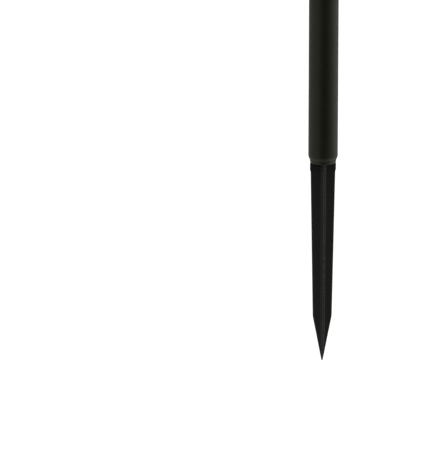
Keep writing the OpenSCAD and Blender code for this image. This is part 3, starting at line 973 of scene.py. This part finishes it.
def snuffer_arm():
    """A bent strap with a round end over the bell, whose other end is curled round the hinge pin."""
    half_t, half_w, edge = ARM_T / 2, ARM_W / 2 - FIT, 0.25 * MM
    bend = rounded([(HINGE.x, HINGE.z + 2.6 * MM, 0), (HINGE.x, ARM_Z + half_t, 4 * MM),
                    (0, ARM_Z + half_t, 0)], closed=False, steps=10)
    centre = [(Vector(point[:2]), 1.0) for point in bend]
    for k in range(1, 13):
        angle = math.radians(7 * k)
        centre.append((Vector((-half_w * math.sin(angle), ARM_Z + half_t)), math.cos(angle)))
    section = rounded([(-half_w, -half_t, edge), (half_w, -half_t, edge), (half_w, half_t, edge),
                       (-half_w, half_t, edge)], steps=3)
    bm = bmesh.new()
    rows, worn = [], []
    for i, (point, share) in enumerate(centre):
        ahead, behind = centre[min(i + 1, len(centre) - 1)][0], centre[max(i - 1, 0)][0]
        along = (ahead - behind).normalized()
        normal = Vector((-along.y, along.x))
        row = []
        for across, through, wear in section:
            at = point + normal * through
            row.append(bm.verts.new((at.x, across * share, at.y)))
            worn.append(wear)
        rows.append(row)
    lofted(bm, rows)
    strap = mesh_piece("strap", bm, worn)
    reach, curl_r = ARM_W / 2, 3.2 * MM
    wall = [(SCREW_HOLE_R, -reach, edge), (curl_r, -reach, edge), (curl_r, reach, edge),
            (SCREW_HOLE_R, reach, edge)]
    curl = turned("curl", rounded(wall, steps=3), sides=48)
    move(curl, Matrix.Translation(HINGE) @ ALONG_Y)
    return opened(joined("snuffer_arm_skin", [strap, curl]))


def snuffer_bell():
    """A spun bell with a rolled lip and a turned line."""
    r, wall, lip = 11.6 * MM, MM, 0.7 * MM
    base = HINGE.z
    corners = [(r - wall, base, 0.4 * MM), (r + lip, base, 0.5 * MM), (r + lip, base + 1.3 * MM, 0.5 * MM),
               (r, base + 1.7 * MM, 0.5 * MM), (r, base + 7 * MM, 0.15 * MM),
               (r - 0.3 * MM, base + 7.3 * MM, 0.1 * MM), (r - 0.3 * MM, base + 7.8 * MM, 0.1 * MM),
               (r, base + 8.1 * MM, 0.15 * MM), (r, base + BELL_H, 5 * MM),
               (1.6 * MM, base + BELL_H, 0.1 * MM), (1.6 * MM, base + BELL_H - wall, 0.1 * MM),
               (r - wall, base + BELL_H - wall, 4 * MM)]
    return opened(turned("snuffer_bell_skin", rounded(corners, steps=8)))


def snuffer_knob():
    foot = ARM_Z + ARM_T
    tall = 13 * MM
    corners = [(SCREW_HOLE_R, foot, 0.1 * MM), (4.2 * MM, foot, 0.4 * MM),
               (4.2 * MM, foot + 1.2 * MM, 0.4 * MM),
               (3.3 * MM, foot + 2.4 * MM, 1.2 * MM), (3.4 * MM, foot + 4.6 * MM, 1.6 * MM),
               (6.2 * MM, foot + 6.4 * MM, 1.2 * MM), (6.3 * MM, foot + 10.8 * MM, 2 * MM),
               (3.4 * MM, foot + tall, 2 * MM), (0, foot + tall, 0),
               (0, foot + 7 * MM, 0), (SCREW_HOLE_R, foot + 7 * MM, 0.1 * MM)]
    return opened(turned("snuffer_knob_skin", rounded(corners), sides=72))


def snuffer_screw():
    head_foot = ARM_Z - MM
    screw = pan_head_screw("snuffer_screw_skin", 1.5 * MM, 8 * MM, 3 * MM, 1.5 * MM)
    over = Matrix.Translation((0, 0, head_foot)) @ Matrix.Rotation(math.pi, 4, "X")
    return opened(move(screw, over))


for tube_node in ("lower_tube", "middle_tube", "upper_tube"):
    dress(pole_tube(tube_node), tube_node)
dress(ground_spike(), "ground_spike")
for coupler_node in ("middle_coupler", "upper_coupler"):
    dress(coupler(coupler_node), coupler_node)
dress(head_socket(), "head_socket")
dress(head_screws(), "head_screws")
dress(holder_cup(), "holder_cup")
dress(holder_washer(), "holder_washer")
dress(holder_bolt(), "holder_bolt")
dress(canister_body(), "canister_body")
dress(canister_top(), "canister_top")
dress(neck_gasket(), "neck_gasket")
dress(burner_cap(), "burner_cap")
dress(wick_tube(), "wick_tube")
dress(wick_nut(), "wick_nut")
dress(wick(), "wick")
dress(snuffer_bracket(), "snuffer_bracket")
dress(bracket_rivets(), "bracket_rivets")
dress(snuffer_pin(), "snuffer_pin")
dress(snuffer_arm(), "snuffer_arm")
dress(snuffer_bell(), "snuffer_bell")
dress(snuffer_knob(), "snuffer_knob")
dress(snuffer_screw(), "snuffer_screw")

# --------------------------------------------------------------------------------------- studio, camera

VIEW_AZIMUTH = math.radians(-8)
VIEW_ELEVATION = math.radians(13)
VIEW_DISTANCE = 4.0
PICTURE_H = 0.408               # height of what the picture shows at the pole, square to the view
AIM_BELOW = 0.0654              # where the picture's middle lies, below the tube's mouth
AIM_LEFT = 0.0928               # and to the left of the pole


def make_camera():
    """A long lens that looks down on the pole's lower end, which stands right of the picture's middle."""
    back = Vector((math.sin(VIEW_AZIMUTH) * math.cos(VIEW_ELEVATION),
                   -math.cos(VIEW_AZIMUTH) * math.cos(VIEW_ELEVATION), math.sin(VIEW_ELEVATION)))
    right = Vector((math.cos(VIEW_AZIMUTH), math.sin(VIEW_AZIMUTH), 0))
    aim = Vector((0, 0, -AIM_BELOW)) - right * AIM_LEFT
    lens = bpy.data.cameras.new("camera")
    lens.lens = lens.sensor_width * VIEW_DISTANCE / PICTURE_H
    lens.clip_end = 200
    camera = bpy.data.objects.new("camera", lens)
    camera.location = aim + back * VIEW_DISTANCE
    camera.rotation_mode = "QUATERNION"
    camera.rotation_quaternion = (-back).to_track_quat("-Z", "Y")
    bpy.context.scene.collection.objects.link(camera)
    bpy.context.scene.camera = camera


def make_studio():
    """A white sweep for the camera, and a soft room: bright at both sides and above, dark in front."""
    world = bpy.data.worlds.new("studio")
    bpy.context.scene.world = world
    world.use_nodes = True
    nodes, links = world.node_tree.nodes, world.node_tree.links
    nodes.clear()

    def add(kind, **inputs):
        node = nodes.new("ShaderNode" + kind)
        for key, value in inputs.items():
            socket = node.inputs[int(key[1:]) if key[0] == "_" else key.replace("_", " ")]
            if isinstance(value, bpy.types.NodeSocket):
                links.new(value, socket)
            else:
                socket.default_value = value
        return node

    def maths(operation, a, b=0.0):
        node = add("Math", _0=a, _1=b)
        node.operation = operation
        return node.outputs[0]

    def rise(value, low, high, most):
        """Grows smoothly from nothing at low to most at high, in degrees of heading."""
        low, high = math.radians(low), math.radians(high)
        node = add("MapRange", Value=value, From_Min=low, From_Max=high, To_Min=0.0, To_Max=most)
        node.interpolation_type = "SMOOTHSTEP"
        return node.outputs["Result"]

    parts = add("SeparateXYZ", Vector=add("TexCoord").outputs["Generated"])
    x, y, z = (parts.outputs[axis] for axis in "XYZ")
    heading = maths("ARCTAN2", x, maths("MULTIPLY", y, -1.0))
    left = rise(maths("MULTIPLY", heading, -1.0), 12, 60, 0.40)
    left_back = rise(maths("MULTIPLY", heading, -1.0), 120, 175, 0.10)
    right = rise(heading, 10, 105, 0.80)
    right_back = rise(heading, 100, 155, -0.45)
    total = maths("ADD", maths("ADD", left, left_back), maths("ADD", right, right_back))
    above = add("MapRange", Value=z, From_Min=0.35, From_Max=0.95, To_Min=0.0, To_Max=0.6)
    below = add("MapRange", Value=z, From_Min=-0.5, From_Max=-0.95, To_Min=0.0, To_Max=0.30)
    ends = maths("ADD", above.outputs["Result"], below.outputs["Result"])
    total = maths("ADD", maths("ADD", total, 0.02), ends)
    seen = add("LightPath").outputs["Is Camera Ray"]
    room = add("Background", Color=(1, 0.985, 0.95, 1), Strength=total)
    white = add("Background", Color=(1, 1, 1, 1), Strength=1.0)
    choice = add("MixShader", Fac=seen, _1=room.outputs[0], _2=white.outputs[0])
    links.new(choice.outputs[0], add("OutputWorld").inputs["Surface"])


def make_floor():
    """A plain white floor at the spike's tip, which takes a faint shadow and throws no light back."""
    low = CAD_BOX[0].z - 0.5 * MM
    mesh = bpy.data.meshes.new("floor")
    half = 60
    corners = [(-half, -half, low), (half, -half, low), (half, half, low), (-half, half, low)]
    mesh.from_pydata(corners, [], [(0, 1, 2, 3)])
    floor = bpy.data.objects.new("floor", mesh)
    bpy.context.scene.collection.objects.link(floor)
    floor.visible_diffuse = False
    floor.visible_glossy = False
    floor.visible_shadow = False
    look = bpy.data.materials.new("white_floor")
    look.use_nodes = True
    shader = look.node_tree.nodes["Principled BSDF"]
    shader.inputs["Base Color"].default_value = (0.25, 0.25, 0.25, 1)
    shader.inputs["Roughness"].default_value = 1.0
    shader.inputs["Specular IOR Level"].default_value = 0.0
    shader.inputs["Emission Color"].default_value = (1, 1, 1, 1)
    shader.inputs["Emission Strength"].default_value = 0.93
    mesh.materials.append(look)


make_camera()
make_studio()
make_floor()
bpy.context.scene.view_settings.view_transform = "Standard"
